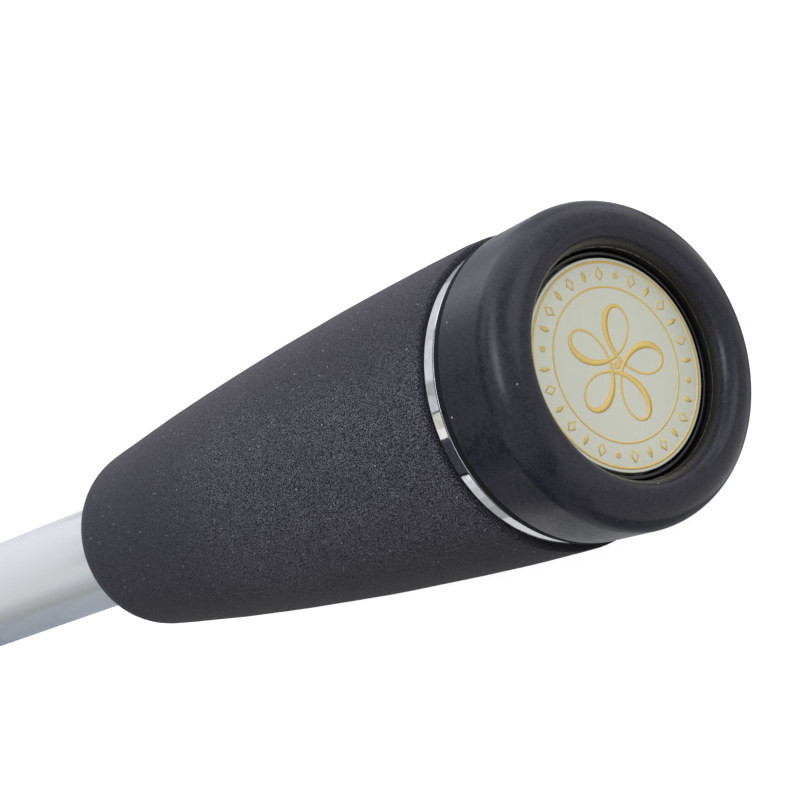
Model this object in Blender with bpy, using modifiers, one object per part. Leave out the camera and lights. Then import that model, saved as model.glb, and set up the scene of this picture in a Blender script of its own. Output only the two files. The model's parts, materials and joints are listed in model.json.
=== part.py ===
"""A telescopic white cane with a foam grip, lying level along X.

The cap of the grip points along +X and the roller tip along -X.  The cane is
turned about one axis, so almost every piece is an outline swept by a Screw
modifier.  An outline is a list of (u, r) points in millimetres: u is the
distance from the front of the butt cap towards the tip, and r is the radius.
"""

from math import cos, pi, sqrt

import bmesh
import bpy
from mathutils import Matrix, Vector

MM = 0.001

# Overall sizes, in millimetres
CANE_LENGTH = 1000.0
STEPS_WIDE = 40            # sides of the wide round pieces
STEPS_TUBE = 24            # sides of the tubes and of what fits in them
STEPS_FINE = 16            # sides of screws and studs
GAP = 0.3                  # between pieces that touch

# Tubes: outer and inner radii, and where each begins and ends
UPPER_R, UPPER_BORE = 6.5, 5.6
MIDDLE_R, MIDDLE_BORE = 5.4, 4.55
LOWER_R, LOWER_BORE = 4.3, 3.5
UPPER_START, UPPER_END = 22.0, 390.0
MIDDLE_START, MIDDLE_END = 345.0, 690.0
LOWER_START, LOWER_END = 645.0, 955.0

# Butt cap
CAP_R = 17.43
CAP_CREST_R = 14.0         # the lip's foremost circle
CAP_LIP_DEPTH = 3.9
CAP_SKIRT_R = 17.06
CAP_SKIRT, CAP_END = 10.95, 11.65          # the bevel at the end runs between them
CAP_END_R = 16.75
RECESS_R, RECESS_LIP, RECESS_FLOOR = 12.3, 2.6, 6.6
POCKET_R, POCKET_FLOOR = 11.9, 7.6
WEB_HOLE_R = 4.9

# Medallion in the cap's recess
BADGE_R = 11.3
DISC_FRONT, DISC_THICK = 3.15, 1.2
PAD_FRONT, PAD_THICK, PAD_R = 4.6, 0.7, 10.8
CUP_R, CUP_WALL_R, CUP_RIM, CUP_FLOOR = 12.0, 11.6, 3.1, 5.6
SCREW_HOLE_R, SCREW_R, SCREW_HEAD_R = 1.8, 1.5, 3.2

# Threaded plug and the grip's core
PLUG_FLANGE_R, PLUG_FLANGE, PLUG_SHOULDER = 11.5, 7.9, 9.4
THREAD_R, PLUG_END = 7.0, 20.6
CORE_R, CORE_FRONT, CORE_END = 9.0, 10.75, 60.0
RING_R, RING_FRONT, RING_END = 16.85, 12.1, 13.9

# Foam grip: the radius falls by FOAM_SLOPE and FOAM_CURVE with the distance from the ring
FOAM_FRONT, FOAM_END = 14.2, 94.5
FOAM_R = 17.35
FOAM_SLOPE, FOAM_CURVE = 0.0268, 0.00066
FOAM_ROUND_LENGTH, FOAM_ROUND_DROP = 3.0, 0.84
FOAM_DOME = 1.8            # how far the small end bulges past FOAM_END

# Collars at the mouths of the outer tubes
COLLAR_SLEEVE, COLLAR_LIP = 18.0, 12.0
COLLAR_WALL = 1.8

# Roller tip
ADAPTER_START, ADAPTER_END = 932.0, 969.0
ADAPTER_R, NOSE_R = 6.6, 4.6
AXLE_R, AXLE_END = 2.5, 996.0
BEARING_START, BEARING_WIDTH = 970.0, 5.0
RACE_INNER_R, RACE_OUTER_BORE, RACE_OUTER_R = 3.8, 6.9, 8.0
BALL_R, BALL_PITCH_R, BALLS = 1.2, 5.35, 7
ROLLER_START = 966.0
ROLLER_R = CAP_R

AXIS_HEIGHT = CAP_R * cos(pi / STEPS_WIDE)     # the widest pieces rest on a flat facet


def clear_scene():
    for item in list(bpy.data.objects):
        bpy.data.objects.remove(item, do_unlink=True)


def new_collection(name):
    collection = bpy.data.collections.new(name)
    bpy.context.scene.collection.children.link(collection)
    return collection


def new_material(name, colour, roughness, metallic=0.0):
    material = bpy.data.materials.new(name)
    material.use_nodes = True
    shader = material.node_tree.nodes["Principled BSDF"]
    shader.inputs["Base Color"].default_value = (*colour, 1.0)
    shader.inputs["Roughness"].default_value = roughness
    shader.inputs["Metallic"].default_value = metallic
    return material


clear_scene()
PARTS = new_collection("white_cane")
CUTTERS = new_collection("cutters")


def body_empty(name, u):
    """An empty on the cane's axis: its local Z points to the cap, along world +X."""
    empty = bpy.data.objects.new(name, None)
    empty.empty_display_size = 0.02
    place = Matrix.Translation(((CANE_LENGTH / 2 - u) * MM, 0.0, AXIS_HEIGHT * MM))
    empty.matrix_world = place @ Matrix.Rotation(pi / 2, 4, "Y")
    empty["u"] = u
    PARTS.objects.link(empty)
    return empty


def add_object(name, mesh, body, material):
    piece = bpy.data.objects.new(name, mesh)
    piece.parent = body
    piece.data.materials.append(material)
    PARTS.objects.link(piece)
    return piece


def quarter(start, end, leaves, count=4):
    """Points of a quarter ellipse from start to end; it leaves start along "r" or "u"."""
    points = []
    for i in range(1, count + 1):
        rise, run = 1 - cos(pi / 2 * i / count), cos(pi / 2 * (1 - i / count))
        along_u, along_r = (rise, run) if leaves == "r" else (run, rise)
        points.append((start[0] + (end[0] - start[0]) * along_u,
                       start[1] + (end[1] - start[1]) * along_r))
    return points


def pipe(start, end, outer, inner):
    return [(start, outer), (end, outer), (end, inner), (start, inner)]


def turned(name, body, outline, material, steps=STEPS_TUBE):
    """Sweep an outline about the cane's axis.  It runs down its outer side, from cap to tip.

    An outline that starts and ends at r = 0 is a solid, any other closes into a ring.
    """
    ring = outline[0][1] > 0
    edges = [(i, i + 1) for i in range(len(outline) - 1)]
    if ring:
        edges.append((len(outline) - 1, 0))
    mesh = bpy.data.meshes.new(name)
    mesh.from_pydata([(r * MM, 0.0, (body["u"] - u) * MM) for u, r in outline], edges, [])
    piece = add_object(name, mesh, body, material)
    piece.rotation_euler.z = pi / steps
    screw = piece.modifiers.new("turn", "SCREW")
    screw.axis = "Z"
    screw.angle = 2 * pi
    screw.steps = steps
    screw.render_steps = steps
    screw.use_merge_vertices = True
    screw.merge_threshold = 0.000001
    screw.use_smooth_shade = True
    return piece


def block_cutter(name, body, size, centre):
    """A box in the body's frame: size and centre are (x, y, u) in millimetres."""
    shape = bmesh.new()
    bmesh.ops.create_cube(shape, size=1.0)
    bmesh.ops.scale(shape, verts=shape.verts, vec=Vector(size) * MM)
    mesh = bpy.data.meshes.new(name)
    shape.to_mesh(mesh)
    shape.free()
    cutter = bpy.data.objects.new(name, mesh)
    cutter.parent = body
    cutter.location = (centre[0] * MM, centre[1] * MM, (body["u"] - centre[2]) * MM)
    return hide_cutter(cutter)


def hide_cutter(cutter):
    cutter.hide_render = True
    cutter.display_type = "WIRE"
    CUTTERS.objects.link(cutter)
    return cutter


def boolean(piece, cutter, operation="DIFFERENCE"):
    modifier = piece.modifiers.new(operation.lower(), "BOOLEAN")
    modifier.operation = operation
    modifier.solver = "EXACT"
    modifier.object = cutter


WHITE = new_material("white_paint", (0.78, 0.80, 0.80), 0.28)
RED = new_material("red_paint", (0.62, 0.03, 0.03), 0.32)
FOAM = new_material("black_foam", (0.055, 0.055, 0.062), 0.95)
RUBBER = new_material("black_rubber", (0.02, 0.02, 0.024), 0.55)
NYLON = new_material("black_nylon", (0.03, 0.03, 0.03), 0.45)
GLOSS = new_material("gloss_black", (0.01, 0.01, 0.01), 0.12)
CHROME = new_material("polished_metal", (0.86, 0.87, 0.88), 0.08, 1.0)
STEEL = new_material("steel", (0.6, 0.6, 0.61), 0.3, 1.0)
BRASS = new_material("brass", (0.72, 0.55, 0.26), 0.3, 1.0)
GOLD = new_material("champagne_disc", (0.60, 0.60, 0.47), 0.35)
PALE = new_material("pale_nylon", (0.80, 0.80, 0.78), 0.4)
FELT = new_material("grey_felt", (0.25, 0.25, 0.25), 0.9)


def build_butt_cap(body):
    crest, lip_end = (0.0, CAP_CREST_R), (CAP_LIP_DEPTH, CAP_R)
    recess_edge = (RECESS_LIP, RECESS_R)
    outline = [crest] + quarter(crest, lip_end, "r")
    outline += [(CAP_SKIRT, CAP_SKIRT_R), (CAP_END, CAP_END_R)]
    outline += [(CAP_END, POCKET_R), (POCKET_FLOOR, POCKET_R), (POCKET_FLOOR, WEB_HOLE_R)]
    outline += [(RECESS_FLOOR, WEB_HOLE_R), (RECESS_FLOOR, RECESS_R), recess_edge]
    outline += quarter(recess_edge, crest, "u")[:-1]
    turned("butt_cap", body, outline, RUBBER, STEPS_WIDE)


def build_medallion(body):
    for name, front, thick, radius, material in (
            ("medallion_disc", DISC_FRONT, DISC_THICK, BADGE_R, GOLD),
            ("adhesive_pad", PAD_FRONT, PAD_THICK, PAD_R, FELT)):
        outline = [(front, 0), (front, radius), (front + thick, radius), (front + thick, 0)]
        turned(name, body, outline, material, STEPS_WIDE)
    boss_r, boss_end, well_r, well_floor = WEB_HOLE_R - GAP, 7.4, 3.6, 6.8
    turned("medallion_cup", body, [
        (CUP_RIM, CUP_R), (RECESS_FLOOR - GAP, CUP_R), (RECESS_FLOOR - GAP, boss_r),
        (boss_end, boss_r), (boss_end, SCREW_HOLE_R), (well_floor, SCREW_HOLE_R),
        (well_floor, well_r), (CUP_FLOOR, well_r), (CUP_FLOOR, CUP_WALL_R),
        (CUP_RIM, CUP_WALL_R)], GLOSS, STEPS_WIDE)


def build_cup_screw(body):
    head, neck, end = 5.8, 6.55, 15.0
    screw = turned("cup_screw", body, [
        (head, 0), (head, SCREW_HEAD_R - 0.4), (head + 0.3, SCREW_HEAD_R), (neck, SCREW_HEAD_R),
        (neck, SCREW_R), (end - 0.8, SCREW_R), (end, 0)], STEEL, STEPS_FINE)
    for name, size in (("slot_across", (3.4, 0.7, 0.8)), ("slot_up", (0.7, 3.4, 0.8))):
        boolean(screw, block_cutter(name, body, size, (0, 0, head)))


def build_plug(body):
    bore, bore_start = 4.5, 15.5
    turned("cap_plug", body, [
        (PLUG_FLANGE, PLUG_FLANGE_R), (PLUG_SHOULDER, PLUG_FLANGE_R), (PLUG_SHOULDER, THREAD_R),
        (PLUG_END - 0.5, THREAD_R), (PLUG_END, THREAD_R - 0.5), (PLUG_END, bore),
        (bore_start, bore), (bore_start, SCREW_HOLE_R), (PLUG_FLANGE, SCREW_HOLE_R)], NYLON)


def build_seal(body):
    centre, middle_r, radius, sides = 10.6, 10.35, 0.85, 8
    outline = [(centre - radius * cos(2 * pi * i / sides),
                middle_r + radius * cos(2 * pi * i / sides - pi / 2)) for i in range(sides)]
    turned("seal_ring", body, outline, RUBBER)


def build_thrust_washer(body):
    turned("thrust_washer", body, pipe(9.7, 10.45, CORE_R + GAP, THREAD_R + GAP), BRASS)


def foam_radius(u):
    """The grip's radius: a parabola from the ring, with a rounded edge at the small end."""
    distance = u - RING_END
    radius = FOAM_R - FOAM_SLOPE * distance - FOAM_CURVE * distance ** 2
    into_round = (u - FOAM_END + FOAM_ROUND_LENGTH) / FOAM_ROUND_LENGTH
    if into_round > 0:
        radius -= FOAM_ROUND_DROP * (1 - sqrt(max(0.0, 1 - into_round ** 2)))
    return radius


def build_grip(body):
    turned("trim_ring", body, [
        (RING_FRONT, RING_R - 0.2), (RING_FRONT + 0.2, RING_R), (RING_END - 0.2, RING_R),
        (RING_END, RING_R - 0.2), (RING_END, CORE_R + GAP), (RING_FRONT, CORE_R + GAP)],
        CHROME, STEPS_WIDE)

    edge, straight, count = 0.4, FOAM_END - FOAM_ROUND_LENGTH, 8
    outline = [(FOAM_FRONT, foam_radius(FOAM_FRONT) - edge)]
    outline += quarter(outline[0], (FOAM_FRONT + edge, foam_radius(FOAM_FRONT + edge)), "r", 3)
    outline += [(u, foam_radius(u)) for u in
                (FOAM_FRONT + edge + (straight - FOAM_FRONT - edge) * i / count
                 for i in range(1, count + 1))]
    outline += [(u, foam_radius(u)) for u in (FOAM_END - 1.2, FOAM_END - 0.3, FOAM_END)]
    tube_hole = UPPER_R + GAP
    outline += quarter(outline[-1], (FOAM_END + FOAM_DOME, tube_hole + 0.6), "u", 3)
    outline += [(FOAM_END + FOAM_DOME - 0.4, tube_hole), (CORE_END + GAP, tube_hole),
                (CORE_END + GAP, CORE_R + GAP), (FOAM_FRONT, CORE_R + GAP)]
    turned("grip_foam", body, outline, FOAM, STEPS_WIDE)

    thread_bore, tube_seat = THREAD_R + GAP, UPPER_START - 0.4
    turned("grip_core", body, [
        (CORE_FRONT, CORE_R), (CORE_END, CORE_R), (CORE_END, UPPER_R + GAP),
        (tube_seat, UPPER_R + GAP), (tube_seat, thread_bore), (CORE_FRONT, thread_bore)], NYLON)


def build_collar(name, body, tube_end, tube_r, slide_r):
    """The bush at a tube's mouth, with the wiper that cleans the thinner tube in it."""
    start, end = tube_end - COLLAR_SLEEVE, tube_end + COLLAR_LIP
    sleeve, lip, outer = tube_r + GAP, slide_r + 0.25, tube_r + GAP + COLLAR_WALL
    groove = (tube_end + 3.0, tube_end + 6.0)
    turned(name + "_collar", body, [
        (start, sleeve + 0.5), (start + 4.0, outer), (end - 1.5, outer), (end, outer - 1.2),
        (end, lip), (groove[1], lip), (groove[1], sleeve), (groove[0], sleeve),
        (groove[0], lip), (tube_end + GAP, lip), (tube_end + GAP, sleeve), (start, sleeve)], NYLON)
    wiper = pipe(groove[0] + GAP, groove[1] - GAP, sleeve - GAP, slide_r + 0.2)
    turned(name + "_wiper", body, wiper, FELT)


def build_lock(name, tube_start, outer_bore, inner_bore, tube_body, expander_body, cone_body):
    """A twist lock: the tube turns a stud, which draws a cone into a split expander."""
    def at(offset):
        return tube_start + offset
    sleeve_r, stud_r = outer_bore - 0.25, 0.36 * outer_bore
    hole_r = stud_r + GAP
    mouth_r, neck_r = sleeve_r - 0.6, hole_r + 0.5
    mouth, neck, sleeve_end = at(-29.0), at(-13.0), at(-3.8)
    slot, key = 2.2, 1.3

    expander = turned(name + "_expander", expander_body, [
        (mouth, sleeve_r), (sleeve_end, sleeve_r), (sleeve_end, hole_r),
        (at(-6.8), hole_r), (at(-6.8), neck_r), (neck, neck_r), (mouth, mouth_r)], NYLON)
    boolean(expander, block_cutter(name + "_slot", expander_body,
                                   (2 * sleeve_r, slot, 40.0), (sleeve_r, 0, at(-16.0))))

    slope = (mouth_r - neck_r) / (neck - mouth)
    cone_end = at(-23.0)
    cone_end_r = mouth_r - slope * (cone_end - mouth) - 0.27
    cone = turned(name + "_cone", cone_body, [
        (at(-37.0), mouth_r + 0.1), (at(-32.5), mouth_r + 0.1), (cone_end, cone_end_r),
        (cone_end, hole_r), (at(-37.0), hole_r)], BRASS)
    key_size = (sleeve_r - 0.05 - hole_r - 0.6, key, 9.0)
    key_middle = (hole_r + 0.6 + sleeve_r - 0.05) / 2
    boolean(cone, block_cutter(name + "_key", cone_body, key_size,
                               (key_middle, 0, cone_end - 5.5)), "UNION")

    turned(name + "_stud", tube_body, [
        (at(-45.0), 0), (at(-45.0), stud_r - 0.4), (at(-44.6), stud_r), (at(15.6), stud_r),
        (at(16.0), stud_r - 0.4), (at(16.0), 0)], STEEL, STEPS_FINE)
    turned(name + "_stud_stop", tube_body, [
        (at(-46.5), 0), (at(-46.5), hole_r + 1.1), (at(-41.5), hole_r + 1.1),
        (at(-41.5), hole_r), (at(-45.3), hole_r), (at(-45.3), 0)], STEEL, STEPS_FINE)
    turned(name + "_tube_plug", tube_body, [
        (at(17.0), 0), (at(17.0), hole_r), (at(-3.5), hole_r), (at(-3.5), sleeve_r),
        (at(-GAP), sleeve_r), (at(-GAP), inner_bore - 0.25), (at(22.0), inner_bore - 0.25),
        (at(23.0), inner_bore - 1.0), (at(23.0), 0)], NYLON)


def build_bearing(fixed_body, cage_body, roller_body):
    start, end = BEARING_START, BEARING_START + BEARING_WIDTH
    middle = (start + end) / 2
    turned("bearing_inner_race", fixed_body,
           pipe(start, end, RACE_INNER_R, AXLE_R + GAP), STEEL)
    turned("bearing_outer_race", roller_body,
           pipe(start, end, RACE_OUTER_R, RACE_OUTER_BORE), STEEL)
    cage = turned("ball_cage", cage_body,
                  pipe(middle - 0.8, middle + 0.8, BALL_PITCH_R + 0.4, BALL_PITCH_R - 0.4), STEEL)
    balls = bmesh.new()
    for i in range(BALLS):
        turn = Matrix.Rotation(2 * pi * i / BALLS, 4, "Z")
        place = turn @ Matrix.Translation((BALL_PITCH_R * MM, 0, (cage_body["u"] - middle) * MM))
        bmesh.ops.create_uvsphere(balls, u_segments=10, v_segments=6, radius=BALL_R * MM,
                                  matrix=place)
    mesh = bpy.data.meshes.new("balls")
    balls.to_mesh(mesh)
    balls.free()
    ball_set = bpy.data.objects.new("balls", mesh)
    ball_set.parent = cage_body
    boolean(cage, hide_cutter(ball_set), "UNION")


def build_adapter(body):
    turned("tip_adapter", body, [
        (ADAPTER_START, LOWER_R + 0.9), (ADAPTER_START + 3.0, ADAPTER_R),
        (ADAPTER_END - 8.0, ADAPTER_R), (ADAPTER_END - 4.0, NOSE_R), (ADAPTER_END, NOSE_R),
        (ADAPTER_END, AXLE_R + GAP), (LOWER_END + GAP, AXLE_R + GAP),
        (LOWER_END + GAP, LOWER_R + GAP), (ADAPTER_START, LOWER_R + GAP)], NYLON)
    head_start, head_r = LOWER_END - 3.5, LOWER_BORE - GAP
    turned("tip_axle", body, [
        (head_start, 0), (head_start, head_r), (LOWER_END, head_r), (LOWER_END, AXLE_R),
        (AXLE_END - 0.5, AXLE_R), (AXLE_END, AXLE_R - 0.5), (AXLE_END, 0)], STEEL, STEPS_FINE)
    turned("axle_washer", body, pipe(990.0, 991.0, 5.8, AXLE_R + GAP), STEEL)

    nut_start, nut_end, across_corners = 991.3, 994.7, 4.9
    nut = turned("axle_nut", body, [
        (nut_start, 0), (nut_start, across_corners), (nut_end, across_corners), (nut_end, 0)],
        STEEL, 6)
    hole = turned("nut_hole", body, [
        (nut_start - 1, 0), (nut_start - 1, AXLE_R + GAP), (nut_end + 1, AXLE_R + GAP),
        (nut_end + 1, 0)], STEEL, STEPS_TUBE)
    PARTS.objects.unlink(hole)
    boolean(nut, hide_cutter(hole))


def build_roller(body):
    face_r, mouth_r, bush_r, shoulder_r = 11.4, 7.0, 4.8, 3.4
    seat_r, seat_end, shoulder, mouth = RACE_OUTER_R + GAP, 976.0, 988.0, 989.5
    back = (ROLLER_START, 11.0)
    rear_side, front_side = (ROLLER_START + 6.0, ROLLER_R), (CANE_LENGTH - 7.0, ROLLER_R)
    outline = [back] + quarter(back, rear_side, "r", 4) + [front_side]
    outline += quarter(front_side, (CANE_LENGTH, face_r), "u", 4)
    outline += [(CANE_LENGTH, mouth_r), (mouth, mouth_r), (mouth, shoulder_r),
                (shoulder, shoulder_r), (shoulder, bush_r), (seat_end, bush_r),
                (seat_end, seat_r), (ROLLER_START, seat_r)]
    turned("roller_tip", body, outline, PALE, STEPS_WIDE)
    turned("roller_bush", body, pipe(seat_end + 0.5, shoulder - GAP, bush_r - GAP, AXLE_R + GAP),
           BRASS)
    cap_front, cap_back = CANE_LENGTH - 0.3, CANE_LENGTH - 2.8
    turned("roller_end_cap", body, [
        (cap_back, 0), (cap_back, mouth_r - GAP), (cap_front - 0.4, mouth_r - GAP),
        (cap_front, mouth_r - GAP - 0.4), (cap_front, 0)], NYLON)


def build_cane():
    upper = body_empty("upper_axis", RING_END)
    washer = body_empty("washer_axis", 10.0)
    cap = body_empty("cap_axis", CAP_END)
    middle = body_empty("middle_axis", MIDDLE_START)
    lower = body_empty("lower_axis", LOWER_START)
    cage = body_empty("cage_axis", BEARING_START)
    roller = body_empty("roller_axis", ROLLER_START)

    build_butt_cap(cap)
    build_medallion(cap)
    build_cup_screw(cap)
    build_plug(cap)
    build_seal(cap)
    build_thrust_washer(washer)
    build_grip(upper)
    for name, body, start, end, radius, bore in (
            ("upper", upper, UPPER_START, UPPER_END, UPPER_R, UPPER_BORE),
            ("middle", middle, MIDDLE_START, MIDDLE_END, MIDDLE_R, MIDDLE_BORE),
            ("lower", lower, LOWER_START, LOWER_END, LOWER_R, LOWER_BORE)):
        paint = RED if name == "lower" else WHITE
        turned(name + "_tube", body, pipe(start, end, radius, bore), paint)
    build_collar("upper", upper, UPPER_END, UPPER_R, MIDDLE_R)
    build_collar("middle", middle, MIDDLE_END, MIDDLE_R, LOWER_R)
    for name, body, start, outer_bore, inner_bore in (
            ("middle", middle, MIDDLE_START, UPPER_BORE, MIDDLE_BORE),
            ("lower", lower, LOWER_START, MIDDLE_BORE, LOWER_BORE)):
        expander = body_empty(name + "_expander_axis", start - 16.0)
        cone = body_empty(name + "_cone_axis", start - 30.0)
        build_lock(name, start, outer_bore, inner_bore, body, expander, cone)
    build_adapter(lower)
    build_bearing(lower, cage, roller)
    build_roller(roller)


build_cane()
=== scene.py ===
"""Looks for the telescopic white cane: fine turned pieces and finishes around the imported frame.

Outlines are lists of (u, r) points in millimetres, as in the CAD: u is the distance from the
front of the butt cap towards the tip, and r is the distance from the cane's axis.
"""

import json
from math import cos, hypot, pi, radians, sin, sqrt, tau

import bmesh
import bpy
from mathutils import Matrix, Vector, noise


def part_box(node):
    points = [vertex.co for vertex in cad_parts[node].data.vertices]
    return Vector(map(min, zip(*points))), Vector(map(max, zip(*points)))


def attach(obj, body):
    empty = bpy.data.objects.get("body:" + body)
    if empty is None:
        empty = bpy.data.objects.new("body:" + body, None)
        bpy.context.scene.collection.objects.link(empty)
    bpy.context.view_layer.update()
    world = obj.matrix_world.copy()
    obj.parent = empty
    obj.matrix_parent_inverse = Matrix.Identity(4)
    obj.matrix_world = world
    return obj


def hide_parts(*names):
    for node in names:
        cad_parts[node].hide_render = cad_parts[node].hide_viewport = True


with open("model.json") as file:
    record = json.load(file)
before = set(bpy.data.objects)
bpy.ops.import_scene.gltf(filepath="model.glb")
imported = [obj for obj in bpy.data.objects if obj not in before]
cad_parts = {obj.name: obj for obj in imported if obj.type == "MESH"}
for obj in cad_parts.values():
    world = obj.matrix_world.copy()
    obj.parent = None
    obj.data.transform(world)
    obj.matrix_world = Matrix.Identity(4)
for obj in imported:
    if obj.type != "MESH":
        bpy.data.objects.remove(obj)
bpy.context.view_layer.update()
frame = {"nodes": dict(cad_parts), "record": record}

MM = 0.001
CAP_LOW, CAP_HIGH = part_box("butt_cap")
FRONT = CAP_HIGH.x
AXIS_Z = (CAP_LOW.z + CAP_HIGH.z) / 2

# Camera: where it stands round the cane, and where the cap's front centre is seen from it
CAMERA_OFF_AXIS, CAMERA_ELEVATION, CAMERA_ROLL = radians(35.72), radians(15.0), radians(41.25)
CAMERA_LENS = 144.9
CAP_RIGHT, CAP_UP, CAP_AHEAD = 0.02392, 0.00432, 0.32604

# Studio: heights in metres, brightness as radiance
FLOOR = -0.06 * MM         # the finely turned pieces reach just below the CAD's flat facets
UNDER_CARD, LOW_CARD, CARD, TOP_CARD = 0.0002, 0.0003, 0.0004, 0.0005    # cards over the floor
SKY = 0.72                 # the plain surroundings, as light on the cane
FLOOR_SEEN, FLOOR_LIT = 0.97, 0.125        # the floor's own light, to the camera and to the cane
COOL, BLUISH = (0.96, 0.975, 1.04), (0.92, 0.975, 1.11)
LIT_POINT = (FRONT, 0, 0.02)               # what the panels in front aim at

# How finely the pieces are turned: the number of sides
STEPS_WIDE, STEPS_TUBE = 192, 96           # the grip's pieces, and the tubes and what is in them
STEPS_SKIN, STEPS_THREAD, STEPS_FLUTES = 320, 144, 240

PITCH = 2.0                # of the cap's screw thread, in millimetres


def span(node):
    """Where a CAD node starts and ends along the cane and how far out it reaches, in mm."""
    low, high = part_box(node)
    reach = max(hypot(v.co.y, v.co.z - AXIS_Z) for v in frame["nodes"][node].data.vertices)
    return (FRONT - high.x) / MM, (FRONT - low.x) / MM, reach / MM


# ---------------------------------------------------------------- camera, floor and light

def build_camera():
    """Looks down at the cap, rolled so that the cane rises to the right.  Gives its right."""
    level = Vector((-cos(CAMERA_OFF_AXIS), sin(CAMERA_OFF_AXIS), 0))
    ahead = level * cos(CAMERA_ELEVATION) - Vector((0, 0, sin(CAMERA_ELEVATION)))
    flat_right = Vector((sin(CAMERA_OFF_AXIS), cos(CAMERA_OFF_AXIS), 0))
    flat_up = flat_right.cross(ahead)
    right = flat_right * cos(CAMERA_ROLL) - flat_up * sin(CAMERA_ROLL)
    up = flat_right * sin(CAMERA_ROLL) + flat_up * cos(CAMERA_ROLL)
    camera = bpy.data.objects.new("camera", bpy.data.cameras.new("camera"))
    camera.data.lens = CAMERA_LENS
    camera.data.sensor_width = 36.0
    camera.data.clip_start = 0.01
    face = Vector((FRONT, 0, AXIS_Z))
    camera.matrix_world = Matrix((right, up, -ahead)).transposed().to_4x4()
    camera.location = face - right * CAP_RIGHT - up * CAP_UP - ahead * CAP_AHEAD
    bpy.context.scene.collection.objects.link(camera)
    bpy.context.scene.camera = camera
    return right


def light_panel(name, centre, size, aim, radiance, turn=0.0, colour=COOL):
    """A soft panel that shines on aim with an even radiance and turns about its own middle."""
    data = bpy.data.lights.new(name, "AREA")
    data.shape = "RECTANGLE"
    data.size, data.size_y = size
    data.energy = radiance * pi * size[0] * size[1]
    data.color = colour
    light = bpy.data.objects.new(name, data)
    facing = (Vector(aim) - Vector(centre)).to_track_quat("-Z", "Y").to_matrix().to_4x4()
    light.matrix_world = Matrix.Translation(centre) @ facing @ Matrix.Rotation(turn, 4, "Z")
    light.visible_camera = False
    bpy.context.scene.collection.objects.link(light)


def flat_stage(name, corners, finish):
    """A four-cornered sheet that belongs to the studio."""
    mesh = bpy.data.meshes.new(name)
    mesh.from_pydata(corners, [], [(0, 1, 2, 3)])
    mesh.materials.append(finish)
    sheet = bpy.data.objects.new(name, mesh)
    bpy.context.scene.collection.objects.link(sheet)
    return sheet


def reflected_card(name, corners, colour):
    """A card that only reflections show, for the bands in the metal, the paint and the rubber."""
    finish = bpy.data.materials.new(name)
    finish.use_nodes = True
    tree = finish.node_tree
    glow = tree.nodes.new("ShaderNodeEmission")
    glow.inputs["Color"].default_value = (*colour, 1)
    tree.links.new(glow.outputs[0], tree.nodes["Material Output"].inputs["Surface"])
    card = flat_stage(name, corners, finish)
    card.visible_camera = card.visible_diffuse = card.visible_shadow = False
    card.visible_transmission = card.visible_volume_scatter = False


def camera_switch(tree, seen, lit):
    """One value for what the camera sees directly and another for every other ray."""
    path = tree.nodes.new("ShaderNodeLightPath")
    switch = tree.nodes.new("ShaderNodeMix")
    switch.inputs["A"].default_value, switch.inputs["B"].default_value = lit, seen
    tree.links.new(path.outputs["Is Camera Ray"], switch.inputs["Factor"])
    return switch.outputs["Result"]


def build_world():
    scene = bpy.context.scene
    scene.view_settings.view_transform = "Standard"
    world = bpy.data.worlds.new("studio")
    world.use_nodes = True
    scene.world = world
    tree = world.node_tree
    background = tree.nodes["Background"]
    tint = tree.nodes.new("ShaderNodeMix")
    tint.data_type = "RGBA"
    tint.inputs[6].default_value, tint.inputs[7].default_value = (*COOL, 1), (1, 1, 1, 1)
    path = tree.nodes.new("ShaderNodeLightPath")
    tree.links.new(path.outputs["Is Camera Ray"], tint.inputs["Factor"])
    tree.links.new(tint.outputs[2], background.inputs["Color"])
    tree.links.new(camera_switch(tree, 1.0, SKY), background.inputs["Strength"])


def build_floor():
    """A plain white floor, lit from within like a light table, so that shadows on it stay faint."""
    side = 40.0
    finish = bpy.data.materials.new("floor")
    finish.use_nodes = True
    tree = finish.node_tree
    shader = tree.nodes["Principled BSDF"]
    shader.inputs["Base Color"].default_value = (0.2, 0.2, 0.2, 1)
    shader.inputs["Roughness"].default_value = 1.0
    shader.inputs["Specular IOR Level"].default_value = 0.0
    shader.inputs["Emission Color"].default_value = (1, 1, 1, 1)
    tree.links.new(camera_switch(tree, FLOOR_SEEN, FLOOR_LIT), shader.inputs["Emission Strength"])
    flat_stage("floor", [(-side, -side, FLOOR), (side, -side, FLOOR), (side, side, FLOOR),
                         (-side, side, FLOOR)], finish)


def floor_card(name, colour, x_range, y_range, height=CARD):
    """A reflected card that lies just above the floor."""
    (x0, x1), (y0, y1) = x_range, y_range
    corners = [(x0, y0), (x1, y0), (x1, y1), (x0, y1)]
    reflected_card(name, [(x, y, height) for x, y in corners], colour)


def side_card(name, colour, x_range, start, end):
    """A reflected card along the cane, from start to end, both (y, z)."""
    x0, x1 = x_range
    reflected_card(name, [(x0, *start), (x1, *start), (x1, *end), (x0, *end)], colour)


def build_panels():
    """The lamps: a softbox over the cane's far side, a fill, and two narrow strips at the cap."""
    over, over_target = (-0.27, 1.03, 0.9), (-0.27, 1.03, 0)
    light_panel("softbox_above", over, (1.8, 2.6), over_target, 0.83, radians(45))
    light_panel("front_fill", (2.3, 0.6, 1.0), (1.6, 1.6), LIT_POINT, 1.15)
    light_panel("strip_in_front", (0.64, -0.42, 0.524), (0.18, 0.37), LIT_POINT, 4.5, colour=BLUISH)
    light_panel("strip_overhead", (0.54, -0.155, 0.66), (0.14, 0.26), LIT_POINT, 2.2, colour=BLUISH)


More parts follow.
